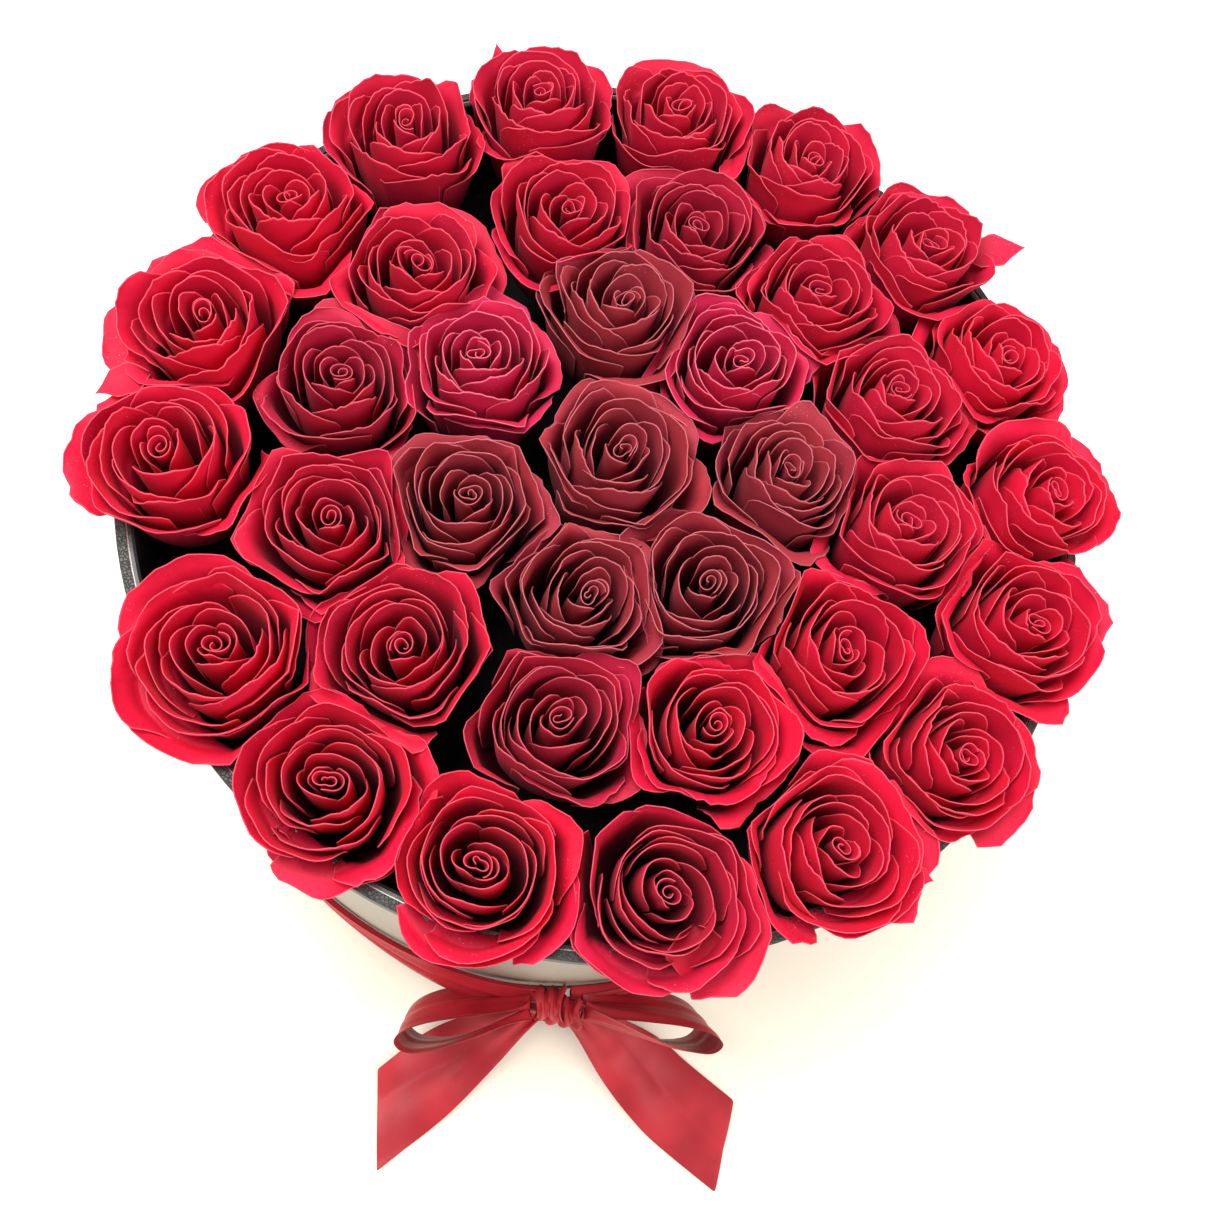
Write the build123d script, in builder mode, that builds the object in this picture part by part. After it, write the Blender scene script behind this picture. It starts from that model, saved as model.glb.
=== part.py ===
"""Round flower box: a hat box of preserved roses with a satin bow. Millimetres, +Z up.

The origin is the centre of the box's underside. The bow is at the front, on the -Y side.
The box stays where it stands; the foam, the card and the roses lift out of it together.
"""
import os
from itertools import combinations
from math import cos, dist, radians, sin

from build123d import *

# ---- box ----
box_height = 228.0            # underside to the top of the rim
wall_radius = 162.6           # outside of the pearl-covered wall
wall_thickness = 2.2
liner_thickness = 0.8
liner_step = 1.0              # the liner stops this far below the rim
glue_gap = 0.1                # between board and the paper or leatherette glued to it
base_thickness = 2.5
underside_thickness = 0.8
underside_round = 0.2

# ---- leatherette bands ----
rim_band_thickness = 2.3
rim_band_height = 9.0
rim_cap_thickness = 1.0
rim_cap_reach = 0.7           # how far the cap reaches in over the wall's top edge
rim_round = 0.7
base_band_thickness = 0.8
base_band_height = 15.0
base_band_round = 0.25

# ---- insert that lifts out ----
insert_clearance = 1.5        # all round, between the foam and the liner
insert_gap = 0.3              # under the foam
card_thickness = 1.5
card_depth = 50.0             # top of the card below the rim
foam_layers = 2

# ---- roses ----
ring_counts = (1, 7, 12, 17)
ring_shares = (0.04, 0.38, 0.684, 1.0)         # each ring's radius as a share of the outer ring's
ring_starts = (-145.0, 93.0, 104.0, 186.0)     # degrees, where each ring's first rose stands
ring_slacks = (0.0, 9.0, 6.0, 6.0)             # degrees left open between a ring's last rose and its first
head_clearance = 0.35         # between neighbouring heads, and under a head's overhang at the rim
head_depth = 32.0             # bottom of a rose head below the rim
head_rise = 18.0              # top of a rose head above the rim
head_widest_rise = 6.0        # the widest part of a rose head above the rim
head_crown_radius = 12.0
head_crown_drop = 4.5         # the crown's rounding is fullest this far below the top
head_crown_bulge = 0.7        # how full it is, between 0 and 1
cup_radius = 14.8             # of the head where it stands inside the rim
cup_height = 12.0
cup_bulge = 0.75              # how full the cup is a third of the way up, between 0 and 1
cup_clearance = 0.7           # between the outer ring's cups and the liner
calyx_clearance = 0.3
calyx_radius = 7.0
calyx_height = 9.0
stem_radius = 2.6
pick_radius = 1.2
pick_length = 90.0
pick_clearance = 0.2

# ---- ribbon ----
ribbon_width = 38.0
ribbon_thickness = 0.6
ribbon_clearance = 0.3        # between the ribbon's own pieces, and to the wall
band_width = 26.0             # the ribbon drawn together lengthwise round the wall
band_front_height = 47.0
band_tilt = 8.5               # degrees; the band lies higher at the back
knot_width = 22.0
knot_depth = 15.0
knot_height = 24.0
knot_corner = 5.0
knot_round = 3.0
loop_length = 66.0
loop_gap = 13.0               # widest opening inside a loop
loop_height = 34.0
loop_root_clearance = 0.9     # between a loop and the knot
loop_root_share = 1 / 3       # how wide a loop is at the knot, of its full width
loop_step = 1.0               # the loops hang this far above the knot's underside
loop_swing = 8.0              # degrees that each loop leans away from the wall
tail_level_run = 8.4          # along which a tail stays level under the knot
tail_drop_run = 42.0          # along the table, from the knot to where a tail lies flat
tail_bend_radius = 5.5
tail_root_width = 8.0
tail_table_gap = 0.5
tail_cut = 20.0               # how far each tail's end is cut on the slant
tail_swings = {"left": -151.0, "right": -32.0}     # degrees, the way each tail runs
tail_lengths = {"left": 86.0, "right": 100.0}      # along the table, knot to middle of the cut

# ---- sizes that follow ----
wall_inner = wall_radius - wall_thickness
liner_outer = wall_inner - glue_gap
liner_inner = liner_outer - liner_thickness
wall_foot = underside_thickness + glue_gap
wall_top = box_height - rim_cap_thickness - glue_gap
board_top = wall_foot + base_thickness
insert_radius = liner_inner - insert_clearance
foam_bottom = board_top + insert_gap
card_top = box_height - card_depth
card_bottom = card_top - card_thickness
foam_layer = (card_bottom - foam_bottom) / foam_layers
head_bottom = box_height - head_depth
head_top = box_height + head_rise
band_inner = wall_radius + ribbon_clearance
band_outer = band_inner + ribbon_thickness
knot_middle = band_outer + ribbon_clearance + knot_depth / 2
knot_bottom = band_front_height - knot_height / 2
outer_ring_radius = liner_inner - cup_clearance - cup_radius


def direction(degrees):
    """The level direction at an angle from +X."""
    return cos(radians(degrees)), sin(radians(degrees)), 0


def ring_spots(ring):
    """Where the roses of one ring stand: clockwise and evenly, but for the slack that closes it."""
    step = (360.0 - ring_slacks[ring]) / ring_counts[ring]
    radius = ring_shares[ring] * outer_ring_radius
    for place in range(ring_counts[ring]):
        out_x, out_y, _ = direction(ring_starts[ring] - place * step)
        yield radius * out_x, radius * out_y


rose_spots = [spot for ring in range(len(ring_shares)) for spot in ring_spots(ring)]
closest_roses = min(dist(first, second) for first, second in combinations(rose_spots, 2))
head_radius = (closest_roses - head_clearance) / 2
os.makedirs("parts", exist_ok=True)


def rings_wider_than(piece, radius):
    """The round edges of a piece that are wider than a radius."""
    return piece.edges().filter_by(GeomType.CIRCLE).filter_by(lambda edge: edge.radius > radius)


def save(piece, name):
    """Labels a finished piece and writes it to its own file."""
    piece.label = name
    export_step(piece, f"parts/{name}.step")


# ---- box: board pieces ----
with BuildPart() as outer_wall:
    with BuildSketch(Plane.XY.offset(wall_foot)):
        Circle(wall_radius)
        Circle(wall_inner, mode=Mode.SUBTRACT)
    extrude(amount=wall_top - wall_foot)
save(outer_wall.part, "outer_wall")

with BuildPart() as inner_liner:
    with BuildSketch(Plane.XY.offset(board_top)):
        Circle(liner_outer)
        Circle(liner_inner, mode=Mode.SUBTRACT)
    extrude(amount=box_height - liner_step - board_top)
save(inner_liner.part, "inner_liner")

with BuildPart() as base_board:
    with BuildSketch(Plane.XY.offset(wall_foot)):
        Circle(wall_inner - glue_gap)
    extrude(amount=base_thickness)
save(base_board.part, "base_board")

with BuildPart() as bottom_cover:
    with BuildSketch():
        Circle(wall_radius)
    extrude(amount=underside_thickness)
    fillet(bottom_cover.edges().group_by(Axis.Z)[0], underside_round)
save(bottom_cover.part, "bottom_cover")

# ---- box: leatherette bands ----
with BuildPart() as top_rim_trim:
    rim_inner = wall_radius + glue_gap
    rim_outer = rim_inner + rim_band_thickness
    cap_inner = wall_radius - rim_cap_reach
    with BuildSketch(Plane.XZ):
        with BuildLine():
            Polyline(
                (rim_inner, box_height - rim_band_height),
                (rim_outer, box_height - rim_band_height),
                (rim_outer, box_height),
                (cap_inner, box_height),
                (cap_inner, wall_top + glue_gap),
                (rim_inner, wall_top + glue_gap),
                close=True,
            )
        make_face()
    revolve(axis=Axis.Z)
    fillet(rings_wider_than(top_rim_trim, rim_outer - glue_gap), rim_round)
save(top_rim_trim.part, "top_rim_trim")

with BuildPart() as base_rim_trim:
    foot_inner = wall_radius + glue_gap
    with BuildSketch():
        Circle(foot_inner + base_band_thickness)
        Circle(foot_inner, mode=Mode.SUBTRACT)
    extrude(amount=base_band_height)
    fillet(rings_wider_than(base_rim_trim, foot_inner + base_band_thickness / 2), base_band_round)
save(base_rim_trim.part, "base_rim_trim")

# ---- insert: foam in layers and the card over it, with a hole for each pick ----
for layer, name in enumerate(("foam_lower", "foam_upper")):
    with BuildPart() as foam:
        with BuildSketch(Plane.XY.offset(foam_bottom + layer * foam_layer)):
            Circle(insert_radius)
        extrude(amount=foam_layer)
        with BuildSketch(Plane.XY.offset(card_top)):
            with Locations(*rose_spots):
                Circle(pick_radius + pick_clearance)
        extrude(amount=-pick_length - pick_clearance, mode=Mode.SUBTRACT)
    save(foam.part, name)

with BuildPart() as cover_card:
    with BuildSketch(Plane.XY.offset(card_bottom)):
        Circle(insert_radius)
        with Locations(*rose_spots):
            Circle(pick_radius + pick_clearance, mode=Mode.SUBTRACT)
    extrude(amount=card_thickness)
save(cover_card.part, "cover_card")

with BuildPart() as rose_picks:
    with BuildSketch(Plane.XY.offset(card_top)):
        with Locations(*rose_spots):
            Circle(pick_radius)
    extrude(amount=-pick_length)
save(rose_picks.part, "rose_picks")

with BuildPart(mode=Mode.PRIVATE) as calyx:
    with BuildSketch(Plane.XZ):
        with BuildLine():
            Polyline(
                (0, card_top),
                (stem_radius, card_top),
                (stem_radius, head_bottom - calyx_height),
                (calyx_radius, head_bottom - calyx_clearance),
                (0, head_bottom - calyx_clearance),
                close=True,
            )
        make_face()
    revolve(axis=Axis.Z)

with BuildPart() as rose_calyxes:
    with Locations(*rose_spots):
        add(calyx.part)
save(rose_calyxes.part, "rose_calyxes")

# ---- insert: rose heads, each a cup inside the rim that opens out above it ----
overhang_bottom = box_height + head_clearance
widest_height = box_height + head_widest_rise
shoulder_radius = head_crown_radius + (head_radius - head_crown_radius) * head_crown_bulge
with BuildPart(mode=Mode.PRIVATE) as rose_head:
    with BuildSketch(Plane.XZ):
        with BuildLine():
            Polyline((0, head_top), (0, head_bottom), (calyx_radius, head_bottom))
            ThreePointArc(
                (calyx_radius, head_bottom),
                (calyx_radius + (cup_radius - calyx_radius) * cup_bulge, head_bottom + cup_height / 3),
                (cup_radius, head_bottom + cup_height),
            )
            Polyline(
                (cup_radius, head_bottom + cup_height),
                (cup_radius, overhang_bottom),
                (head_radius, widest_height),
            )
            ThreePointArc(
                (head_radius, widest_height),
                (shoulder_radius, head_top - head_crown_drop),
                (head_crown_radius, head_top),
            )
            Line((head_crown_radius, head_top), (0, head_top))
        make_face()
    revolve(axis=Axis.Z)

for number, spot in enumerate(rose_spots, start=1):
    with BuildPart() as rose:
        with Locations(spot):
            add(rose_head.part)
    save(rose.part, f"rose_{number:02d}")

# ---- ribbon round the wall, between two sloping planes ----
with BuildPart() as ribbon_band:
    with BuildSketch(Plane.XY.offset(base_band_height)):
        Circle(band_outer)
        Circle(band_inner, mode=Mode.SUBTRACT)
    extrude(amount=box_height - rim_band_height - base_band_height)
    band_normal = (0, -sin(radians(band_tilt)), cos(radians(band_tilt)))
    band_plane = Plane(origin=(0, -band_outer, band_front_height), z_dir=band_normal)
    split(bisect_by=band_plane.offset(-band_width / 2), keep=Keep.TOP)
    split(bisect_by=band_plane.offset(band_width / 2), keep=Keep.BOTTOM)
save(ribbon_band.part, "ribbon_band")

# ---- bow: the knot, with a loop at each side and two tails that lie out on the table ----
with BuildPart() as ribbon_knot:
    with BuildSketch(Plane.XY.offset(knot_bottom)):
        with Locations((0, -knot_middle)):
            RectangleRounded(knot_width, knot_depth, knot_corner)
    extrude(amount=knot_height)
    fillet(ribbon_knot.edges().group_by(Axis.Z)[0], knot_round)
    fillet(ribbon_knot.edges().group_by(Axis.Z)[-1], knot_round)
save(ribbon_knot.part, "ribbon_knot")


def loop_face(start, half_width, end):
    """A loop filled in, seen from above: narrow where it starts, then wide, with a round end."""
    root_half = half_width * loop_root_share
    bend = end - half_width
    with BuildSketch(mode=Mode.PRIVATE) as face:
        with BuildLine():
            Polyline((bend, half_width), (loop_length / 2, half_width), (start, root_half))
            Line((start, root_half), (start, -root_half))
            Polyline((start, -root_half), (loop_length / 2, -half_width), (bend, -half_width))
            ThreePointArc((bend, -half_width), (end, 0), (bend, half_width))
        make_face()
    return face.sketch


for side, facing, swing in (("left", -1, 180 + loop_swing), ("right", 1, -loop_swing)):
    root = (facing * (knot_width / 2 + loop_root_clearance), -knot_middle, knot_bottom + loop_step)
    with BuildPart() as ribbon_loop:
        with BuildSketch(Plane(origin=root, x_dir=direction(swing), z_dir=(0, 0, 1))):
            add(loop_face(0, loop_gap / 2 + ribbon_thickness, loop_length))
            hollow = loop_face(ribbon_thickness, loop_gap / 2, loop_length - ribbon_thickness)
            add(hollow, mode=Mode.SUBTRACT)
        extrude(amount=loop_height)
    save(ribbon_loop.part, f"ribbon_loop_{side}")

tail_top = knot_bottom - ribbon_clearance - ribbon_thickness / 2
tail_flat = tail_table_gap + ribbon_thickness / 2
for side, facing in (("left", -1), ("right", 1)):
    along = direction(tail_swings[side])
    across = direction(tail_swings[side] + 90)
    length = tail_lengths[side]
    slant = facing * tail_cut / 2
    root = (facing * (tail_root_width / 2 + ribbon_clearance), -knot_middle, 0)
    with BuildPart() as ribbon_tail:
        with BuildSketch(Plane(origin=root, x_dir=along, z_dir=across)):
            with BuildLine():
                # this plane's own Y points down, so heights are negative
                FilletPolyline(
                    (0, -tail_top),
                    (tail_level_run, -tail_top),
                    (tail_drop_run, -tail_flat),
                    (length + tail_cut, -tail_flat),
                    radius=tail_bend_radius,
                )
            trace(line_width=ribbon_thickness)
        extrude(amount=ribbon_width, both=True)
        with BuildSketch(Plane(origin=root, x_dir=along, z_dir=(0, 0, 1))):
            with BuildLine():
                Polyline(
                    (0, -tail_root_width / 2),
                    (tail_drop_run, -ribbon_width / 2),
                    (length + slant, -ribbon_width / 2),
                    (length - slant, ribbon_width / 2),
                    (tail_drop_run, ribbon_width / 2),
                    (0, tail_root_width / 2),
                    close=True,
                )
            make_face()
        extrude(amount=knot_bottom, mode=Mode.INTERSECT)
    save(ribbon_tail.part, f"ribbon_tail_{side}")
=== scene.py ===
import bpy
import numpy as np
from mathutils import Matrix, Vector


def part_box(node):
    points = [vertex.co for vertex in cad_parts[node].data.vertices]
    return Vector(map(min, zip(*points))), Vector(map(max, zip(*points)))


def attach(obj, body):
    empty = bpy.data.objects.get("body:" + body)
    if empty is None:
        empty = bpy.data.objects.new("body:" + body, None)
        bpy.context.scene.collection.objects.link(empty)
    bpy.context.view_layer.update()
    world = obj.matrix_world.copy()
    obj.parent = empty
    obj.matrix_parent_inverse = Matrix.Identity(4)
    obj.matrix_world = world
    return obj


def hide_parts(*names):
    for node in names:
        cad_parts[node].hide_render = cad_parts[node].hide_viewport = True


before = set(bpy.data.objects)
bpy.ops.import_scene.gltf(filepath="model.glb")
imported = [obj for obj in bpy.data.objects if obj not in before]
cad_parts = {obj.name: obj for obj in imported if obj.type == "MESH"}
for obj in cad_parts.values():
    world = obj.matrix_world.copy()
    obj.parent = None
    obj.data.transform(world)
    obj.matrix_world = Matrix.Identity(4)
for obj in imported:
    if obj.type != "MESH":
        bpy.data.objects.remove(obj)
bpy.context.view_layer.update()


# One socket of a material's node tree, so that shader sums read as Python sums.
class Wire:
    def __init__(self, tree, socket=None):
        self.tree, self.socket = tree, socket

    # Adds any node: its type, its settings, and the values or wires of its sockets.
    def make(self, kind, settings, values, output=0):
        node = self.tree.nodes.new("ShaderNode" + kind)
        for name, value in settings.items():
            setattr(node, name, value)
        for name, value in values.items():
            if isinstance(value, Wire):
                self.tree.links.new(value.socket, node.inputs[name])
            else:
                node.inputs[name].default_value = value
        return Wire(self.tree, node.outputs[output]) if node.outputs else None

    def sum(self, operation, first, second):
        return self.make("Math", {"operation": operation}, {0: first, 1: second})

    def __add__(self, other):
        return self.sum("ADD", self, other)

    def __mul__(self, other):
        return self.sum("MULTIPLY", self, other)

    def __sub__(self, other):
        return self.sum("SUBTRACT", self, other)

    def __rsub__(self, other):
        return self.sum("SUBTRACT", other, self)

    __radd__ = __add__
    __rmul__ = __mul__

    # A Math node with one input, such as a sine.
    def through(self, operation):
        return self.make("Math", {"operation": operation}, {0: self})

    # 0 below low, 1 above high, smooth between.
    def rise(self, low, high):
        limits = {"Value": self, "From Min": low, "From Max": high}
        return self.make("MapRange", {"interpolation_type": "SMOOTHSTEP"}, limits)

    # Two colours, or wires that carry them, mixed with this wire as the factor.
    def mix(self, first, second):
        first, second = [(*tint, 1) if isinstance(tint, tuple) else tint for tint in (first, second)]
        return self.make("Mix", {"data_type": "RGBA"}, {0: self, 6: first, 7: second}, 2)

    def noise(self, scale, detail=3, roughness=0.5):
        values = {"Vector": self, "Scale": scale, "Detail": detail, "Roughness": roughness}
        return self.make("TexNoise", {}, values)

    def bump(self, strength, distance):
        return self.make("Bump", {}, {"Height": self, "Strength": strength, "Distance": distance})

    # These coordinates stretched by a scale along x, y and z.
    def stretched(self, scale):
        return self.make("Mapping", {}, {"Vector": self, "Scale": scale})


def newMaterial(name):
    material = bpy.data.materials.new(name)
    material.use_nodes = True
    tree = material.node_tree
    tree.nodes.clear()
    return material, Wire(tree)


# Joins wires and constants to a Principled shader and the output.
def finishMaterial(material, wire, **values):
    names = {"colour": "Base Color", "roughness": "Roughness", "normal": "Normal",
             "sheen": "Sheen Weight", "sheenTint": "Sheen Tint", "sheenRoughness": "Sheen Roughness",
             "metallic": "Metallic", "specular": "Specular IOR Level", "anisotropy": "Anisotropic",
             "glowColour": "Emission Color", "glow": "Emission Strength"}
    shader = wire.make("BsdfPrincipled", {}, {names[word]: value for word, value in values.items()})
    wire.make("OutputMaterial", {}, {"Surface": shader})
    return material


def objectCoordinates(wire):
    return wire.make("TexCoord", {}, {}, 3)


def pieceAttribute(wire, name):
    return wire.make("Attribute", {"attribute_name": name}, {}, 2)


def uvParts(wire):
    uv = wire.make("TexCoord", {}, {}, 2)
    return wire.make("SeparateXYZ", {}, {0: uv}, 0), wire.make("SeparateXYZ", {}, {0: uv}, 1)


def unit(vectors):
    return vectors / np.linalg.norm(vectors, axis=-1, keepdims=True)


# 0 below low, 1 above high, and share^2 (3 - 2 share) between.
def smoothStep(value, low, high):
    share = np.clip((value - low) / (high - low), 0, 1)
    return share * share * (3 - 2 * share)


# Sets a camera or a lamp at a spot, with its own axes to the right, up and back.
def standAt(name, data, spot, right, upward, back):
    pose = np.eye(4)
    pose[:3, 0], pose[:3, 1], pose[:3, 2], pose[:3, 3] = right, upward, back, spot
    holder = bpy.data.objects.new(name, data)
    holder.matrix_world = Matrix(pose.tolist())
    bpy.context.collection.objects.link(holder)
    return holder


# what the camera looks at and from how far (metres), its angles (degrees) and its lens (millimetres)
cameraPlace = {"aim": (-0.0034, -0.0547, 0.2287), "distance": 0.3744, "elevation": 68.16,
               "azimuth": -20.8, "roll": 22.845, "lens": 33.88, "sensor": 36, "clip": (0.01, 50)}


def placeCamera(place):
    camera = bpy.data.cameras.new("camera")
    camera.sensor_width, camera.lens = place["sensor"], place["lens"]
    camera.clip_start, camera.clip_end = place["clip"]
    azimuth, elevation, roll = np.radians([place["azimuth"], place["elevation"], place["roll"]])
    level = np.cos(elevation)
    back = np.array([np.sin(azimuth) * level, -np.cos(azimuth) * level, np.sin(elevation)])
    flatRight = np.array([np.cos(azimuth), np.sin(azimuth), 0])
    right = np.cos(roll) * flatRight + np.sin(roll) * np.cross(back, flatRight)
    spot = np.array(place["aim"]) + place["distance"] * back
    bpy.context.scene.camera = standAt("camera", camera, spot, right, np.cross(back, right), back)


placeCamera(cameraPlace)
print("camera placed")


# Faces of a grid of rows by columns of points, numbered row by row from a start.
def gridFaces(rows, columns, start=0):
    row, column = np.meshgrid(np.arange(rows - 1), np.arange(columns - 1), indexing="ij")
    corner = row * columns + column
    return np.stack([corner, corner + 1, corner + 1 + columns, corner + columns], -1).reshape(-1, 4) + start


# A smooth mesh of four-sided faces, with a value at each point for each attribute, and a UV map.
def meshPiece(name, points, faces, attributes=None, uv=None):
    mesh = bpy.data.meshes.new(name)
    mesh.vertices.add(len(points))
    mesh.vertices.foreach_set("co", np.asarray(points, dtype=np.float32).ravel())
    mesh.loops.add(faces.size)
    mesh.loops.foreach_set("vertex_index", faces.ravel().astype(np.int32))
    mesh.polygons.add(len(faces))
    mesh.polygons.foreach_set("loop_start", np.arange(0, faces.size, 4, dtype=np.int32))
    mesh.update(calc_edges=True)
    mesh.polygons.foreach_set("use_smooth", np.ones(len(faces), dtype=bool))
    for label, values in (attributes or {}).items():
        layer = mesh.attributes.new(label, "FLOAT", "POINT")
        layer.data.foreach_set("value", np.asarray(values, dtype=np.float32).ravel())
    if uv is not None:
        layer = mesh.uv_layers.new(name="cloth")
        layer.data.foreach_set("uv", np.asarray(uv, dtype=np.float32)[faces.ravel()].ravel())
    mesh.validate()
    piece = bpy.data.objects.new(name, mesh)
    bpy.context.collection.objects.link(piece)
    return piece


def thicken(piece, thickness):
    shell = piece.modifiers.new("shell", "SOLIDIFY")
    shell.thickness, shell.offset = thickness, 0


roseMaker = {
    "petals": 22,           # round the scroll, from the bud out
    "handTurn": 2.39996,    # radians from one petal to the next, the golden angle
    "reach": 0.0315,        # radius of an open rose
    "tightest": 1.12,       # radius of the first petal, as a share of the scroll's
    "foot": 0.0022,         # radius of a petal's foot
    # the section of a shut and an open petal: radius and height shares at three points above its foot
    "shutCup": [(0.95, 0.02), (1.14, 0.6), (0.93, 1)],
    "openCup": [(0.85, 0.03), (0.86, 0.74), (0.98, 1.02)],
    "outerDrop": 0.0095,    # how far the outer petals stand below the bud
    "rollOut": 0.12,        # how far an open petal rolls over, as a share of its radius
    "rollDown": 0.0036,
    "lipOut": 0.0019,       # how far every lip turns back
    "lipDown": 0.0011,
    "scrollTurns": 1.8,
    "scrollRadius": 0.0038,
    "scrollStart": 0.0004,  # radius of the scroll's inner end
    "scrollSunk": 0.003,
    "scrollHeight": 0.012,
    "petalThickness": 0.0003,
    "columns": 23,
    "rows": 15,
    "sideHighlightStart": 0.978,      # where the painted highlight line along a petal's side starts
    "topHighlightStart": 0.988,       # and along its top
    "lean": 2.5,            # degrees that the outer roses lean out
    "leanMore": {21: 2.0, 28: 5.0, 29: 5.5, 30: 5.0, 31: 5.0},
    "tilt": 0.09,           # how far any rose may lean by chance
    "overlap": 0.0028,      # how far a petal may press past the middle between two roses
    "neighbour": 0.07,      # centres nearer than this limit each other's spread
    "seed": 500,
}
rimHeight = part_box("top_rim_trim")[1].z
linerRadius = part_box("inner_liner")[1].x - 0.0009


# How far a rose may spread each way: for each neighbour at distance d and bearing b the limit is
# (d / 2 + overlap) / cos(angle - b), and the nearest limit holds.
def spreadLimit(angle, centre, others, reach, overlap):
    limit = np.full(angle.shape, reach)
    facingLeast = 0.25
    for other in others:
        away = other - centre
        distance, bearing = np.hypot(*away), np.arctan2(away[1], away[0])
        facing = np.cos(angle - bearing)
        wall = (distance / 2 + overlap) / np.maximum(facing, facingLeast)
        limit = np.minimum(limit, np.where(facing > facingLeast, wall, reach))
    return limit


# Petals in order 0..1 from the bud out, each a grid of up (0 foot, 1 edge) by across (-1..1).
# A petal's section is a cubic curve out(climb), high(climb) whose points slide from a shut cup to an
# open one; it is turned through angle = middle + halfWidth * across. Its edge is
# 1 - 0.2 |across|^2.8 with a soft point in the middle, long waves and small tears added.
def petalPoints(draw, maker, reach, topHeight, baseHeight, openness):
    count, columns, rows = maker["petals"], maker["columns"], maker["rows"]
    sideHighlightStart, topHighlightStart = maker["sideHighlightStart"], maker["topHighlightStart"]
    order = np.linspace(0, 1, count)[:, None, None]
    across = np.concatenate([[-1, -sideHighlightStart], np.linspace(-0.92, 0.92, columns - 4), [sideHighlightStart, 1]])
    across = across[None, None, :]
    up = np.concatenate([np.linspace(0, 0.965, rows - 2), [topHighlightStart, 1]])[None, :, None]

    # one chance value for each petal
    def vary(low, high):
        return draw.uniform(low, high, (count, 1, 1))

    # three sine waves across each petal
    def waves(*turns):
        return sum(vary(-1, 1) * np.sin(turn * across + vary(0, 6.3)) for turn in turns) / 3

    opening = np.clip(smoothStep(order + vary(-0.08, 0.08), 0.25, 1.0) * openness, 0, 1)
    inner = maker["scrollRadius"] * maker["tightest"]
    radius = inner + (reach / 1.08 - inner) * order ** 0.97 + vary(-0.0007, 0.0007) * (0.3 + order)
    # the petals round the bud stand free of it, and then crowd here and there
    radius = radius + draw.uniform(0.0008, 0.0026) * smoothStep(order, 0.12, 0.2) * (1 - order)
    crowding = np.sin(order * draw.uniform(8, 15) + draw.uniform(0, 6.3))
    radius = radius + 0.0013 * crowding * smoothStep(order, 0.05, 0.3) * (1 - order)
    drop = maker["outerDrop"] * smoothStep(order, 0.6, 1.05) + 0.0016 * (1 - order) ** 3
    tall = topHeight - drop + vary(-0.0009, 0.0009) - baseHeight
    halfWidth = (1.5 - 0.55 * order ** 0.6) * vary(0.82, 1.12)
    wave = waves(2.3, 4.1, 6.7)
    tear = waves(13, 21, 34)
    point = np.exp(-((across - vary(-0.25, 0.25)) / 0.17) ** 2) * vary(0, 1.2) * (0.15 + 0.85 * order)
    edge = 1 - 0.2 * np.abs(across) ** 2.8 + 0.05 * wave * (0.5 + order) + 0.05 * point
    climb = up * (edge + (0.008 + 0.034 * order) * tear)
    weights = [3 * climb * (1 - climb) ** 2, 3 * climb ** 2 * (1 - climb), climb ** 3]
    out, high = (1 - climb) ** 3 * maker["foot"], baseHeight
    for weight, shut, spread in zip(weights, maker["shutCup"], maker["openCup"]):
        outShare, highShare = [near + (far - near) * opening for near, far in zip(shut, spread)]
        out = out + weight * outShare * radius
        high = high + weight * highShare * tall
    # open petals roll over outwards, more at their shoulders than in the middle
    side = 1 + 0.7 * np.abs(across) ** 2
    roll = smoothStep(climb, 0.74, 1.03)
    out = out + roll * opening * radius * maker["rollOut"] * side * vary(0.3, 1.4)
    high = high - roll ** 1.7 * opening * maker["rollDown"] * side * vary(0.3, 1.6)
    # every lip turns back a little
    lip = smoothStep(climb, 0.84, 1.0)
    out = out + lip * maker["lipOut"] * side * vary(0.3, 1.5) * (0.35 + 0.65 * order)
    high = high - lip ** 2 * maker["lipDown"] * side * vary(0.2, 1.7) * (0.3 + 0.7 * order)
    # each petal tucks one side under the last
    out = out * (1 + (0.13 - 0.06 * order) * across * np.minimum(1, 2 * climb))
    # folds run up the petal
    fold = waves(3.3, 5.9, 9.5)
    out = out + fold * climb ** 2 * (0.0007 + 0.0013 * opening)
    high = high + wave * climb ** 3 * 0.0024 * opening
    angle = maker["handTurn"] * np.arange(count)[:, None, None] + vary(-0.3, 0.3)
    angle = angle + halfWidth * across * (0.62 + 0.38 * smoothStep(climb, 0.05, 0.6))
    # the painted highlight line: 0 to 1 over the last of each side above the foot, and over the last of the
    # top
    sideRim = np.maximum(np.abs(across) - sideHighlightStart, 0) / (1 - sideHighlightStart) * (up > 0.4)
    edgeHighlight = np.clip(np.maximum(sideRim, (up - topHighlightStart) / (1 - topHighlightStart)), 0, 1)
    return np.broadcast_arrays(out, high, angle, climb, edgeHighlight, vary(0, 1), across)


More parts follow.
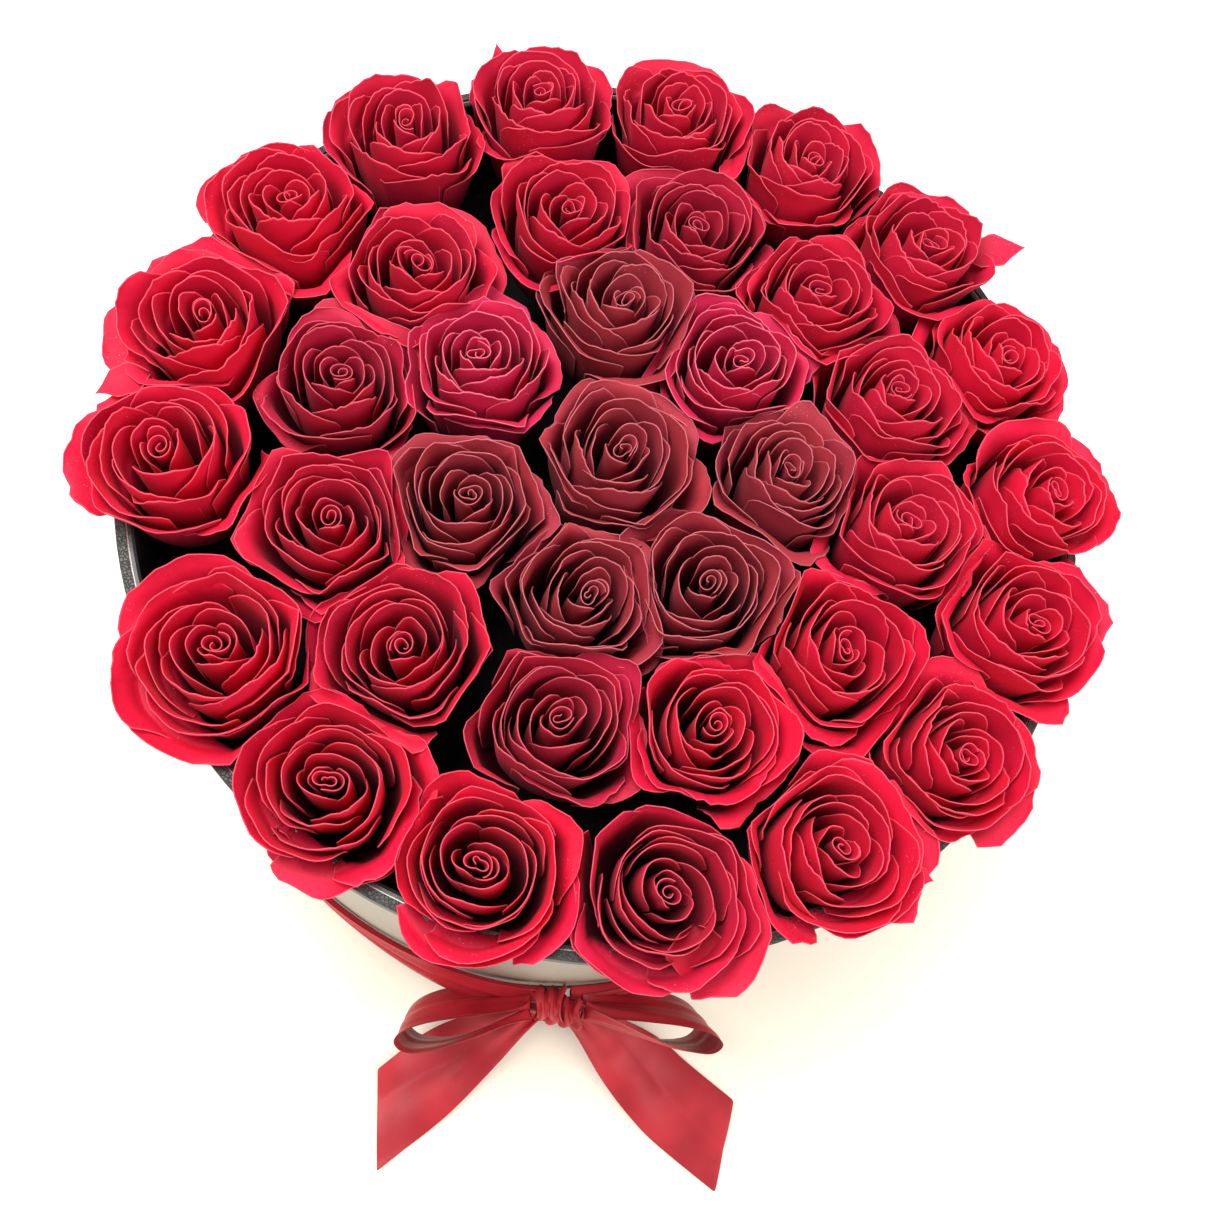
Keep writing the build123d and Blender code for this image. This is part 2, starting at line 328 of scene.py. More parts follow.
# The bud's scroll: a strip rolled on a radius of start + (scrollRadius - start) * along^0.85 and an
# angle of turns * along, whose top edge leans out a little and sinks towards the middle.
def scrollPoints(draw, maker, topHeight, firstAngle):
    along = np.linspace(0, 1, 110)[None, :]
    up = np.concatenate([np.linspace(0, 0.95, 6), [0.985, 1]])[:, None]
    wobble = 0.00045 * np.sin(draw.uniform(2, 5) * along * 6.28 + draw.uniform(0, 6)) * up
    start = maker["scrollStart"]
    out = start + (maker["scrollRadius"] - start) * along ** 0.85 + wobble
    out = out * (0.8 + 0.2 * up) + 0.0004 * up ** 4
    budTop = topHeight - maker["scrollSunk"]
    foot = budTop - maker["scrollHeight"]
    top = budTop - 0.0016 * (1 - along) + 0.0009 * np.sin(8 * along + draw.uniform(0, 6))
    angle = firstAngle + maker["scrollTurns"] * 2 * np.pi * along
    # painted highlight: the pale line along the top edge of the scroll
    edgeHighlight = np.clip((up - 0.985) / 0.015, 0, 1)
    return np.broadcast_arrays(out, foot + (top - foot) * up, angle, 0.2 + 0.62 * up, edgeHighlight,
                               draw.uniform(0, 1), 2 * along - 1)


# Flattens a rose's heart to an oval and moves it off centre, squeezes the rose between its
# neighbours, leans it, and holds it inside the liner below the rim.
def settleRose(out, high, angle, depth, centre, others, lean, heart, baseHeight, reach, maker):
    flatten, flattenAngle, heartX, heartY = heart
    core = 1 - smoothStep(out / reach, 0.12, 0.6)
    out = out * (1 + flatten * core * np.cos(2 * (angle - flattenAngle)))
    limit = spreadLimit(angle, centre, others, reach * 1.15, maker["overlap"])
    squeeze = np.minimum(1, limit / (reach * 1.04))
    out = out * (1 - (1 - squeeze) * smoothStep(out / reach, 0.3, 0.95))
    rise = high - baseHeight
    x = out * np.cos(angle) + heartX * core
    y = out * np.sin(angle) + heartY * core
    high = high - (x * lean[0] + y * lean[1]) * smoothStep(rise, 0.01, 0.035)
    x = x + centre[0] + lean[0] * rise
    y = y + centre[1] + lean[1] * rise
    fromMiddle = np.hypot(x, y)
    # what reaches past the liner lies over the rim, and what is lower stays inside
    upper = smoothStep(depth, 0.35, 0.6) * smoothStep(fromMiddle, linerRadius - 0.003, linerRadius)
    high = high + upper * np.maximum(rimHeight + 0.0012 - high, 0)
    inside = 1 - smoothStep(high, rimHeight - 0.0002, rimHeight + 0.0011)
    hold = 1 + (np.minimum(linerRadius / fromMiddle, 1) - 1) * inside
    return np.stack([x * hold, y * hold, high], -1)


# Loose petals that stand out over the rim: the rose each belongs to, its bearing and how far it
# swings from it (degrees), then where it starts past the liner, its reach, its rise and its width
# (millimetres).
loosePetals = [
    (25, 107, 0, 6, 9, 9, 6),
    (28, 36, -3, 4, 20, 7, 13),
    (36, -128, 3, 4, 8, -13, 7),
    (33, -57, 2, 3, 7, 2, 6),
    (34, -82, 0, -5, 18, -5, 17),
    (21, 174, 3, -2, 16, -1, 11),
]


# A loose petal: straight from root to tip with a bend of sin(pi along), as wide as
# 0.12 + sin(pi along^0.8), and cupped along its middle.
def loosePetal(bearing, swing, start, reach, rise, width, draw):
    along = np.linspace(0, 1, 12)[:, None]
    across = np.concatenate([[-1, -0.9], np.linspace(-0.7, 0.7, 7), [0.9, 1]])[None, :]
    first, last = np.radians([bearing, bearing + swing])
    near, far = linerRadius + start / 1000, linerRadius + (start + reach) / 1000
    width, rootHeight = width / 1000, rimHeight + 0.0035
    root = np.array([near * np.cos(first), near * np.sin(first), rootHeight])
    tip = np.array([far * np.cos(last), far * np.sin(last), rootHeight + rise / 1000])
    side = unit(np.cross(tip - root, [0, 0, 1.0]))
    face = unit(np.cross(side, tip - root))
    half = width / 2 * (0.12 + np.sin(np.pi * along ** 0.8)) * (1 - along ** 6)
    tear = 1 + 0.08 * np.sin(along * 17 + draw.uniform(0, 6)) * np.abs(across)
    lift = width * (0.14 * np.sin(np.pi * along) + 0.22 * across ** 2 * (1 - along))
    points = root + (tip - root) * along[..., None]
    points = points + side * (half * across * tear)[..., None] + face * lift[..., None]
    # painted highlight: the pale line along the sides and tip of a loose petal
    edgeHighlight = np.maximum((np.abs(across) - 0.9) / 0.1, (along - 0.95) / 0.05).clip(0, 1)
    return points, *np.broadcast_arrays(0.55 + 0.45 * along, edgeHighlight, draw.random(), across)


# One rose: its petals, its scroll and any loose petals, in one mesh.
def makeRose(number, centre, others, outermost, maker, material):
    draw = np.random.default_rng(maker["seed"] + number)
    low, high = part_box(f"rose_{number:02d}")
    baseHeight, topHeight = low.z + 0.001, high.z + draw.uniform(-0.001, 0.001)
    reach = maker["reach"] * draw.uniform(0.95, 1.04)
    parts = [petalPoints(draw, maker, reach, topHeight, baseHeight, draw.uniform(0.8, 1.0)),
             scrollPoints(draw, maker, topHeight, draw.uniform(0, 6.28))]
    hand = 1 if draw.random() < 0.5 else -1
    turn = draw.uniform(0, 6.28)
    lean = draw.uniform(-maker["tilt"], maker["tilt"], 2)
    heart = (draw.uniform(0.05, 0.25), draw.uniform(0, 3.14), *draw.uniform(-0.0016, 0.0016, 2))
    if outermost:
        outward = np.radians(maker["leanMore"].get(number, maker["lean"]))
        lean = lean * 0.6 + centre / np.hypot(*centre) * outward
    sheets = []
    for out, height, angle, depth, edgeHighlight, tone, across in parts:
        grid = settleRose(out, height, hand * angle + turn, depth, centre, others, lean, heart,
                          baseHeight, reach, maker)
        sheets.append((grid, depth, edgeHighlight, tone, across))
    for owner, *shape in loosePetals:
        if owner == number:
            sheets.append(loosePetal(*shape, draw))
    faces, count = [], 0
    for grid, *_ in sheets:
        rows, columns = grid.shape[-3:-1]
        for petal in range(grid.size // (rows * columns * 3)):
            faces.append(gridFaces(rows, columns, count)[:, ::hand])
            count += rows * columns
    points = np.concatenate([grid.reshape(-1, 3) for grid, *_ in sheets])
    depth, edgeHighlight, tone, across = [np.concatenate([np.ravel(sheet[place]) for sheet in sheets])
                                for place in (1, 2, 3, 4)]
    piece = meshPiece(f"roseHead{number:02d}", points, np.concatenate(faces),
                      {"edgeHighlight": edgeHighlight, "depth": depth, "tone": tone}, np.stack([across, depth], -1))
    thicken(piece, maker["petalThickness"])
    piece.data.materials.append(material)
    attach(piece, "flower_insert")
    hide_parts(f"rose_{number:02d}")
    "petal_burgundy" if number <= 8 else "petal_red"


# Velvety petal: the colour goes smoothly from painted shade deep in the cup to lit at the edge, mottled by
# soft noise and by each petal's own tone, with fine veins along it, specks, and a painted highlight line on
# the edge.
def petalMaterial(name, paintedShade, lit, edge):
    material, wire = newMaterial(name)
    place = objectCoordinates(wire)
    depth, edgeHighlight, tone = [pieceAttribute(wire, label) for label in ("depth", "edgeHighlight", "tone")]
    across, along = uvParts(wire)
    red, green, blue = lit
    # painted shade: the petal darkens from its lit colour towards its foot, deep in the cup
    body = depth.rise(0.3, 0.93).mix(paintedShade, lit)
    body = (place.noise(90).rise(0.35, 0.75) * 0.25).mix(body, (red * 0.5, green * 0.5, blue * 0.5))
    body = (tone * depth.rise(0.5, 1) * 0.4).mix(body, (red * 1.15, green + 0.004, blue * 0.6))
    strip = wire.make("CombineXYZ", {}, {0: across * 26, 1: along * 1.6, 2: tone * 9})
    veins = strip.noise(1.3, 4, 0.6)
    body = (veins.rise(0.5, 0.8) * 0.14).mix(body, (red * 0.45, green * 0.45, blue * 0.45))
    specks = place.noise(2600, 0).rise(0.8, 0.82) * place.noise(60, 1).rise(0.55, 0.65)
    # painted highlight: a pale line along the edge of each petal
    body = (edgeHighlight * 0.6).mix(body, edge)
    body = (specks * 0.6).mix(body, (0.8, 0.6, 0.6))
    velvet = place.noise(1500, 2)
    normal = (veins * 0.6 + velvet * 0.25).bump(0.3, 0.0004)
    return finishMaterial(material, wire, colour=body, normal=normal, roughness=velvet * 0.15 + 0.55,
                          sheen=0.07, sheenTint=(1, 0.3, 0.35, 1), sheenRoughness=0.4, specular=0.22)


# each finish: its painted shade deep in the cup, its colour where it is lit, and its painted highlight line
# on the edge
petals = {
    "bright": petalMaterial("petalBright", (0.05, 0.0005, 0.004), (0.66, 0.006, 0.046), (0.7, 0.1, 0.15)),
    "red": petalMaterial("petalRed", (0.045, 0.0005, 0.004), (0.58, 0.009, 0.05), (0.66, 0.1, 0.15)),
    "crimson": petalMaterial("petalCrimson", (0.035, 0.0006, 0.005), (0.46, 0.011, 0.05), (0.58, 0.11, 0.15)),
    "magenta": petalMaterial("petalMagenta", (0.045, 0.001, 0.009), (0.54, 0.012, 0.075), (0.72, 0.18, 0.25)),
    "burgundy": petalMaterial("petalBurgundy", (0.026, 0.002, 0.004), (0.36, 0.03, 0.052), (0.5, 0.15, 0.18)),
}
# the finish of each rose, in the order of their numbers: one line for each ring, from the middle out
ringTones = [
    ["burgundy"],
    ["burgundy", "magenta", "burgundy", "burgundy", "burgundy", "burgundy", "magenta"],
    ["red", "crimson", "red", "red", "red", "bright", "bright", "crimson", "red", "red", "crimson", "red"],
    ["bright", "bright", "bright", "red", "red", "red", "red", "red", "bright", "bright", "bright", "bright",
     "bright", "red", "bright", "bright", "bright"],
]


def roseCentre(number):
    low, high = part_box(f"rose_{number:02d}")
    return np.array([(low.x + high.x) / 2, (low.y + high.y) / 2])


def plantRoses(maker):
    tones = [(tone, ring is ringTones[-1]) for ring in ringTones for tone in ring]
    spots = [roseCentre(number) for number in range(1, len(tones) + 1)]
    for number, (spot, (tone, outermost)) in enumerate(zip(spots, tones), 1):
        near = [other for other in spots if 0 < np.hypot(*(spot - other)) < maker["neighbour"]]
        makeRose(number, spot, near, outermost, maker, petals[tone])
    print("roses made:", len(tones))


plantRoses(roseMaker)


wallRadius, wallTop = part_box("outer_wall")[1].x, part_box("outer_wall")[1].z
paperThickness = 0.0012     # as it shows on the wall's top edge


# Pearl paper: fine fibre noise, a slow sheen change, and thin light creases that run round the
# wall. On the wall's top edge only the paper is pale, and the board inside it is dark.
def pearlPaper():
    material, wire = newMaterial("pearlPaper")
    place = objectCoordinates(wire)
    height = wire.make("SeparateXYZ", {}, {0: place}, 2)
    grain = place.noise(900, 4, 0.6)
    cloud = place.noise(14)
    body = cloud.rise(0.3, 0.7).mix((0.235, 0.206, 0.16), (0.28, 0.247, 0.195))
    creases = place.stretched((9, 9, 700)).noise(1.0, 3, 0.7)
    streak = creases.rise(0.66, 0.74) * place.noise(22, 2).rise(0.5, 0.62)
    body = (streak * 0.6).mix(body, (0.72, 0.68, 0.6))
    flat = wire.make("VectorMath", {"operation": "MULTIPLY"}, {0: place, 1: (1, 1, 0)})
    fromMiddle = wire.make("VectorMath", {"operation": "LENGTH"}, {0: flat}, 1)
    topEdge = height.rise(wallTop - 0.0002, wallTop - 0.00005)
    paper = fromMiddle.rise(wallRadius - paperThickness, wallRadius - paperThickness + 0.0001)
    body = topEdge.mix(body, (0.03, 0.03, 0.03))
    body = (topEdge * paper).mix(body, (0.5, 0.47, 0.42))
    body = (grain.rise(0.4, 0.7) * 0.12).mix(body, (0.4, 0.36, 0.3))
    normal = (grain * 0.4 + streak * 0.6).bump(0.25, 0.0003)
    return finishMaterial(material, wire, colour=body, normal=normal, roughness=grain * 0.2 + 0.3,
                          metallic=cloud * 0.1 + 0.2, specular=0.5)


# Leatherette: cells of fine grain with creases between them, dark grey-green, paler in patches.
def leatherette():
    material, wire = newMaterial("leatherette")
    place = objectCoordinates(wire)
    cells = wire.make("TexVoronoi", {"feature": "DISTANCE_TO_EDGE"}, {"Vector": place, "Scale": 900})
    folds = place.noise(260, 5, 0.65)
    creased = cells.rise(0.0, 0.16) * 0.6 + folds * 0.9
    body = folds.rise(0.35, 0.7).mix((0.012, 0.014, 0.013), (0.04, 0.045, 0.042))
    body = (place.noise(35, 2).rise(0.5, 0.75) * 0.3).mix(body, (0.07, 0.075, 0.07))
    return finishMaterial(material, wire, colour=body, normal=creased.bump(0.55, 0.0005),
                          roughness=folds * 0.25 + 0.33, specular=0.5)


# Matt card or paper: fibres as stretched noise, slight mottling.
def plainCard(name, dark, pale, fibre=700):
    material, wire = newMaterial(name)
    place = objectCoordinates(wire)
    fibres = place.stretched((1, 0.35, 1)).noise(fibre, 5, 0.7)
    body = (fibres.rise(0.3, 0.75) * 0.8 + place.noise(30, 2) * 0.2).mix(dark, pale)
    return finishMaterial(material, wire, colour=body, normal=fibres.bump(0.3, 0.0002),
                          roughness=fibres * 0.15 + 0.75, specular=0.25)


# Dry foam: fine pores by a small-scale cell pattern, with painted shade darkening each pore's hollow, mottled
# by crumbs.
def dryFoam():
    material, wire = newMaterial("dryFoam")
    place = objectCoordinates(wire)
    shadedPores = wire.make("TexVoronoi", {}, {"Vector": place, "Scale": 700})
    crumbs = place.noise(250, 5, 0.7)
    # painted shade: darker in each pore's hollow
    body = (shadedPores.rise(0.1, 0.5) * 0.5 + crumbs * 0.5).mix((0.05, 0.085, 0.04), (0.2, 0.26, 0.13))
    return finishMaterial(material, wire, colour=body, normal=(shadedPores + crumbs).bump(0.8, 0.0008),
                          roughness=crumbs * 0.1 + 0.88, specular=0.2)


# Calyx and stem: green with darker lengthwise streaks and a dry brown bloom.
def driedGreen():
    material, wire = newMaterial("driedGreen")
    place = objectCoordinates(wire)
    streaks = place.stretched((1, 1, 0.12)).noise(900, 4)
    body = streaks.rise(0.3, 0.7).mix((0.035, 0.06, 0.015), (0.12, 0.17, 0.05))
    body = (place.noise(160, 3).rise(0.5, 0.75) * 0.6).mix(body, (0.16, 0.1, 0.05))
    return finishMaterial(material, wire, colour=body, normal=streaks.bump(0.4, 0.0004),
                          roughness=streaks * 0.2 + 0.6, specular=0.3)


# Coated wire: smooth green lacquer with small scuffs.
def coatedWire():
    material, wire = newMaterial("coatedWire")
    place = objectCoordinates(wire)
    scuffs = place.noise(1200, 3)
    body = scuffs.rise(0.55, 0.75).mix((0.02, 0.09, 0.03), (0.12, 0.16, 0.1))
    return finishMaterial(material, wire, colour=body, normal=scuffs.bump(0.2, 0.0001),
                          roughness=scuffs * 0.3 + 0.3, metallic=scuffs * 0.2 + 0.3)


trimFinish, foamFinish = leatherette(), dryFoam()
boxFinishes = {
    "outer_wall": pearlPaper(),
    "inner_liner": plainCard("blackPaper", (0.004, 0.004, 0.0045), (0.016, 0.016, 0.017)),
    "cover_card": plainCard("blackCard", (0.003, 0.003, 0.003), (0.012, 0.012, 0.012), 420),
    "base_board": plainCard("greyBoard", (0.11, 0.1, 0.085), (0.24, 0.22, 0.19)),
    "top_rim_trim": trimFinish, "base_rim_trim": trimFinish, "bottom_cover": trimFinish,
    "foam_upper": foamFinish, "foam_lower": foamFinish,
    "rose_calyxes": driedGreen(), "rose_picks": coatedWire(),
}
for node, material in boxFinishes.items():
    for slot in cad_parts[node].material_slots:
        slot.material = material
print("box finished")


ribbon = {"width": 0.038, "thickness": 0.0003, "weave": 5200, "columns": 25}


# Satin: threads across the ribbon as a fine wave on its own UV map (V runs along it, in metres),
# broken streaks along it, a darker selvedge at each edge, and a soft shine drawn out one way.
def satinMaterial():
    material, wire = newMaterial("satin")
    across, along = uvParts(wire)
    place = objectCoordinates(wire)
    threads = wire.make("CombineXYZ", {}, {0: across * 90, 1: along * 14}).noise(6, 3, 0.6)
    weft = (along * ribbon["weave"]).through("SINE")
    cloud = place.noise(38, 2)
    body = cloud.rise(0.3, 0.7).mix((0.33, 0.009, 0.018), (0.48, 0.02, 0.032))
    body = (threads.rise(0.45, 0.75) * 0.3).mix(body, (0.3, 0.008, 0.015))
    edge = (across - 0.5).through("ABSOLUTE")
    body = (edge.rise(0.482, 0.492) * 0.6).mix(body, (0.3, 0.01, 0.018))
    normal = (threads * 0.7 + weft * 0.12).bump(0.22, 0.00022)
    return finishMaterial(material, wire, colour=body, normal=normal, roughness=threads * 0.16 + 0.38,
                          specular=0.32, sheen=0.08, sheenTint=(1, 0.4, 0.4, 1), sheenRoughness=0.35,
                          anisotropy=0.5)


satin = satinMaterial()


# Gives a ribbon piece its thickness, its satin and its place in the frame.
def finishRibbon(piece, node):
    thicken(piece, ribbon["thickness"])
    smooth = piece.modifiers.new("smooth", "SUBSURF")
    smooth.levels = smooth.render_levels = 1
    piece.data.materials.append(satin)
    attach(piece, "box")
    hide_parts(node)


# How far along a centre path each of its points lies.
def pathLengths(centre):
    steps = np.linalg.norm(np.diff(centre, axis=0), axis=1)
    return np.concatenate([[0], np.cumsum(steps)])[:, None]


# A ribbon surface: each point of a centre path, plus half the width * across (-1..1) along a
# sideways direction, plus pleats of sin(7.5 across + 0.6) + sin(13 across + 1.9) / 2 outwards.
def ribbonPiece(name, centre, sideways, halfWidth, outwards, pleatDepth):
    columns = ribbon["columns"]
    across = np.linspace(-1, 1, columns)[None, :, None]
    pleat = np.sin(across * 7.5 + 0.6) + 0.5 * np.sin(across * 13 + 1.9)
    points = centre[:, None] + sideways[:, None] * halfWidth[:, None, None] * across
    points = points + outwards[:, None] * pleatDepth[:, None, None] * pleat
    uv = np.stack(np.broadcast_arrays((across[..., 0] + 1) / 2, pathLengths(centre)), -1)
    return meshPiece(name, points.reshape(-1, 3), gridFaces(len(centre), columns), uv=uv.reshape(-1, 2))


# A smooth path through all the given corners, by Catmull-Rom spans.
def smoothPath(corners, count):
    corners = np.array(corners, dtype=float)
    last = len(corners) - 1
    corners = np.vstack([2 * corners[0] - corners[1], corners, 2 * corners[-1] - corners[-2]])
    place = np.linspace(0, last - 1e-9, count)
    span = place.astype(int)
    share = (place - span)[:, None]
    before, start, end, after = [corners[span + step] for step in range(4)]
    curve = (2 * before - 5 * start + 4 * end - after) * share ** 2
    curve = curve + (3 * start - before - 3 * end + after) * share ** 3
    return 0.5 * (2 * start + (end - before) * share + curve)


knotLow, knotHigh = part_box("ribbon_knot")
knotSpot = (np.array(knotLow) + np.array(knotHigh)) / 2
bandLow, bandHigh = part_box("ribbon_band")


band = {
    "length": 1.022,
    "knotGap": 0.035,       # radians from the knot's middle to each end
    "inset": 0.013,         # from the CAD band's lowest and highest edges to the middle line
    "halfWidth": 0.0122,
    "pleat": 0.00105,
    "offWall": 0.0018,
    "pullReach": 0.42,      # radians over which the knot pulls the band together
}


# The band: round the wall from the knot to the knot, at low + (high - low)(1 - cos turn) / 2, so
# that it is higher at the back. Near the knot, by exp(-(turn from the knot / pullReach)^2), it stands
# further off the wall, turns its lower edge out and narrows, mostly on its right.
def makeBand():
    turn = np.linspace(band["knotGap"], 2 * np.pi - band["knotGap"], 260)
    angle = turn - np.pi / 2
    low, high = bandLow.z + band["inset"], bandHigh.z - band["inset"]
    pull = np.exp(-(np.minimum(turn, 2 * np.pi - turn) / band["pullReach"]) ** 2)
    left = (turn > np.pi).astype(float)
    radius = wallRadius + band["offWall"] + (0.003 + 0.0025 * left) * pull
    out = np.stack([np.cos(angle), np.sin(angle), np.zeros_like(angle)], -1)
    centre = out * radius[:, None]
    centre[:, 2] = low + (high - low) * (1 - np.cos(turn)) / 2
    sideways = unit(np.array([0, 0, 1.0]) - out * (0.62 * pull)[:, None])
    half = band["halfWidth"] - (0.008 - 0.0065 * left) * pull
    pleat = band["pleat"] + (0.0009 - 0.0005 * left) * pull
    piece = ribbonPiece("satinBand", centre, sideways, half, out, pleat)
    finishRibbon(piece, "ribbon_band")


loop = {
    "length": 0.128,
    "rootHalf": 0.0075,     # half width where it is gathered in the knot, and at its widest
    "openHalf": 0.0176,
    "rootPleat": 0.0022,
    "flatPleat": 0.0002,
    # the way out and back: metres from the knot along the bow, away from the wall, and up
    "path": [(0.0035, 0.0025, 0.001), (0.014, 0.0022, 0.0), (0.03, 0.0012, -0.001), (0.046, -0.001, -0.002),
             (0.057, -0.005, -0.003), (0.061, -0.0105, -0.003), (0.0555, -0.0158, -0.003),
             (0.043, -0.0158, -0.002), (0.028, -0.012, 0.0), (0.014, -0.0068, 0.0), (0.0035, -0.0035, 0.001)],
    "pathReach": 0.0655,    # the reach that the path is drawn for
    "fromKnot": 0.008,
    "share": {"left": 0.95, "right": 1.0},
}


# A loop: out from the knot, round a soft end and back, standing on edge and tilted back by
# 0.32 + 0.3 cos(pi along), and widened by sin(pi along)^0.5. The way is -1 on the left, 1 on the right.
def makeLoop(side, way):
    node = f"ribbon_loop_{side}"
    low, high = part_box(node)
    path = smoothPath(loop["path"], 90)
    stretch = (high.x - low.x) * loop["share"][side] / loop["pathReach"]
    path[:, 0] = way * (knotSpot[0] + loop["fromKnot"] + path[:, 0] * stretch)
    path[:, 1] += knotSpot[1] - 0.0005
    path[:, 2] += (low.z + high.z) / 2 - 0.005
    along = np.linspace(0, 1, len(path))
    opening = np.sin(np.pi * along) ** 0.5
    tilt = 0.32 + 0.3 * np.cos(np.pi * along)
    sideways = unit(np.stack([0.12 * way * np.ones_like(along), -tilt, np.ones_like(along)], -1))
    outwards = unit(np.cross(unit(np.gradient(path, axis=0)), sideways))
    half = loop["rootHalf"] + (loop["openHalf"] - loop["rootHalf"]) * opening
    pleat = loop["rootPleat"] * (1 - opening) ** 1.2 + loop["flatPleat"]
    piece = ribbonPiece(f"satinLoop{side.capitalize()}", path, sideways, half, outwards, pleat)
    finishRibbon(piece, node)


tail = {
    "heading": {"left": -151.0, "right": -32.0},    # degrees
    "length": {"left": 0.086, "right": 0.1},        # along the table
    "drop": 0.01,                                   # of cloth from the knot down
    "cut": {"left": 0.009, "right": 0.006},         # how far each edge is cut before or past the middle
    "rootHalf": 0.0045,
    "openHalf": 0.0192,
    "offTable": 0.0009,
}


# A tail: from under the knot, down in a soft curve and out over the table, with a slanted cut.
# On it stand an arch of sin(pi along) cos(1.1 pi across / 2), a fold of
# |sin(2.6 across + 1.2 way + 2.2 along)| and the gathers of the knot.
def makeTail(side, way):
    heading, length, cut = [np.radians(tail["heading"][side]), tail["length"][side], tail["cut"][side]]
    ahead = np.array([np.cos(heading), np.sin(heading), 0])
    sideways = np.array([-np.sin(heading), np.cos(heading), 0])
    root = np.array([knotSpot[0] + way * 0.004, knotSpot[1], 0])
    fall = knotLow.z
    run = [0.0, 0.01, 0.022, 0.036, 0.052, 0.07, length]
    rise = [fall - 0.001, fall - 0.004, fall * 0.62, fall * 0.27, 0.0052, 0.0022, 0.0032]
    sway = -way * np.array([0, 0.0, 0.0005, 0.0015, 0.0035, 0.006, 0.0085])
    count, columns = 60, ribbon["columns"]
    flatPath = smoothPath(np.stack([run, sway, rise], -1), count)
    centre = root + ahead * flatPath[:, :1] + sideways * flatPath[:, 1:2]
    centre[:, 2] = flatPath[:, 2]
    along = np.linspace(0, 1, count)[:, None]
    across = np.linspace(-1, 1, columns)[None, :]
    opening = smoothStep(along, 0.0, 0.8)
    half = tail["rootHalf"] + (tail["openHalf"] - tail["rootHalf"]) * opening
    points = centre[:, None] + sideways * (across * half)[..., None]
    # the cut: each thread line stops earlier or later across the width
    slant = -way * cut * across * smoothStep(along, 0.35, 1.0)
    points = points + ahead * slant[..., None]
    arch = 0.0026 * np.sin(np.pi * along) * np.cos(across * np.pi / 2 * 1.1)
    fold = 0.0016 * np.sin(across * 2.6 + way * 1.2 + 2.2 * along) * smoothStep(along, 0.25, 0.7)
    gathers = 0.0016 * (1 - opening) ** 1.4 * np.sin(across * 8.5)
    tilt = 0.24 * (1 - opening) * across * half * way
    points[..., 2] += arch + np.abs(fold) * 1.1 + gathers + tilt
    points[..., 2] = np.maximum(points[..., 2], tail["offTable"])
    uv = np.stack(np.broadcast_arrays((across + 1) / 2, pathLengths(centre) + slant), -1).reshape(-1, 2)
    name = f"satinTail{side.capitalize()}"
    piece = meshPiece(name, points.reshape(-1, 3), gridFaces(count, columns), uv=uv)
    finishRibbon(piece, f"ribbon_tail_{side}")


knot = {"length": 0.056, "wrapHalf": 0.0062, "rollHalf": 0.0078, "rollHeight": 0.0062}


# The knot: two closed bands of ribbon, a wrap round the gathered middle and a short roll beside it
# that runs up to the right. A band's section is an oval, depth cos(angle) by height sin(angle),
# puckered by sines across its width.
def makeKnot():
    count, columns = 72, 21
    angle = np.linspace(0, 2 * np.pi, count, endpoint=False)[:, None]
    across = np.linspace(-1, 1, columns)[None, :]
    depth, height = (knotHigh.y - knotLow.y) / 2, (knotHigh.z - knotLow.z) / 2
    pucker = 0.001 * np.sin(across * 9 + 0.8 * np.sin(2 * angle)) + 0.0004 * np.sin(across * 17 + 2 * angle)
    bulge = 0.86 + 0.1 * across ** 2 + 0.05 * np.sin(angle + 1)
    x = across * (knot["wrapHalf"] + 0.0012 * np.sin(angle * 2 + 0.7)) - 0.0025 - 0.0018 * np.sin(angle)
    y = (depth * bulge + pucker) * np.cos(angle)
    z = (height * bulge + pucker) * np.sin(angle)
    wrap = np.stack(np.broadcast_arrays(x, y, z), -1)
    x = across * knot["rollHalf"] + 0.0022 + 0.0008 * np.sin(angle * 3)
    y = (depth * 0.72 + pucker * 1.5) * np.cos(angle) - 0.0028 - 0.0012 * across
    z = (knot["rollHeight"] + pucker * 1.5) * np.sin(angle) * (1 - 0.25 * across ** 2)
    z = z + 0.0015 + 0.0035 * across
    roll = np.stack(np.broadcast_arrays(x, y, z), -1)
    points = knotSpot + np.concatenate([wrap.reshape(-1, 3), roll.reshape(-1, 3)])
    faces = gridFaces(count + 1, columns) % (count * columns)
    faces = np.concatenate([faces, faces + count * columns])
    uv = np.stack(np.broadcast_arrays((across + 1) / 2, angle * 0.011), -1).reshape(-1, 2)
    piece = meshPiece("satinKnot", points, faces, uv=np.concatenate([uv, uv]))
    finishRibbon(piece, "ribbon_knot")


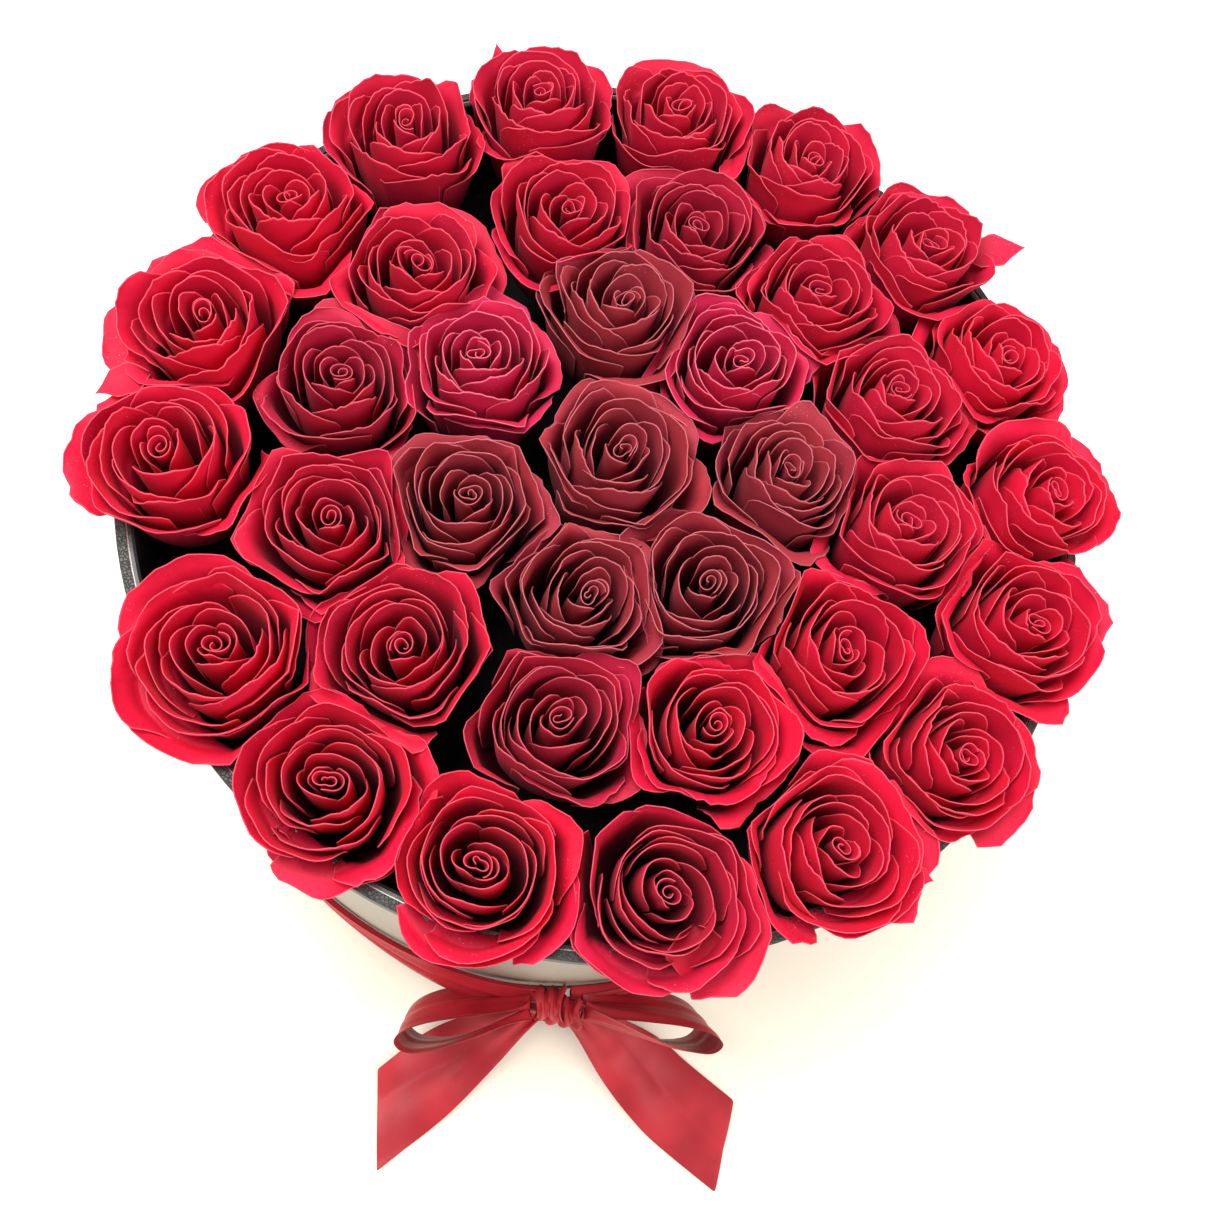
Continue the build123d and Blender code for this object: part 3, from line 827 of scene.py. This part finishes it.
makeBand()
for side, way in (("left", -1), ("right", 1)):
    makeLoop(side, way)
    makeTail(side, way)
makeKnot()
print("ribbon tied")


studio = {
    "floor": (0.93, 0.915, 0.88),
    "floorPaintedShade": (0.86, 0.78, 0.63),    # painted warm shade on the table round the box
    # the floor's glow is painted light: it brightens the table and washes out the shadows on it
    "glowColour": (1, 0.95, 0.86, 1),
    "glow": 0.14,
    "halfFloor": 6,
    "worldColour": (1, 0.985, 0.96, 1),
    "world": 0.78,
    "aim": (0, 0, 0.2),
    # each lamp: its name, spot, size, power and colour
    "lamps": [("key", (-0.45, 0.15, 1.4), 0.9, 23, (1, 0.98, 0.95)),
              ("fill", (0.9, -0.7, 1.1), 1.2, 11, (1, 0.97, 0.93))],
}


def makeFloor():
    steps = np.linspace(-studio["halfFloor"], studio["halfFloor"], 9)
    x, y = np.meshgrid(steps, steps)
    points = np.stack([x, y, np.full_like(x, -0.0002)], -1).reshape(-1, 3)
    floor = meshPiece("floor", points, gridFaces(len(steps), len(steps)))
    material, wire = newMaterial("tableTop")
    place = objectCoordinates(wire)
    away = wire.make("VectorMath", {"operation": "LENGTH"}, {0: place}, 1)
    # painted shade: the table is warmer and darker near the box, fading to the plain floor colour further out
    tint = (away + place.noise(9, 2) * 0.05).rise(0.16, 0.42).mix(studio["floorPaintedShade"], studio["floor"])
    finishMaterial(material, wire, colour=tint, roughness=0.85, specular=0.1,
                   glowColour=studio["glowColour"], glow=studio["glow"])
    floor.data.materials.append(material)


def makeStudio():
    makeFloor()
    world = bpy.data.worlds.new("studio")
    world.use_nodes = True
    background = world.node_tree.nodes["Background"]
    background.inputs["Color"].default_value = studio["worldColour"]
    background.inputs["Strength"].default_value = studio["world"]
    bpy.context.scene.world = world
    for name, spot, size, power, colour in studio["lamps"]:
        lamp = bpy.data.lights.new(name, "AREA")
        lamp.shape, lamp.size, lamp.energy, lamp.color = "DISK", size, power, colour
        back = unit(np.array(spot) - np.array(studio["aim"]))
        right = unit(np.cross([0, 0, 1.0], back))
        standAt(name, lamp, spot, right, np.cross(back, right), back)


makeStudio()
bpy.context.scene.view_settings.view_transform = "Standard"
print("studio lit")
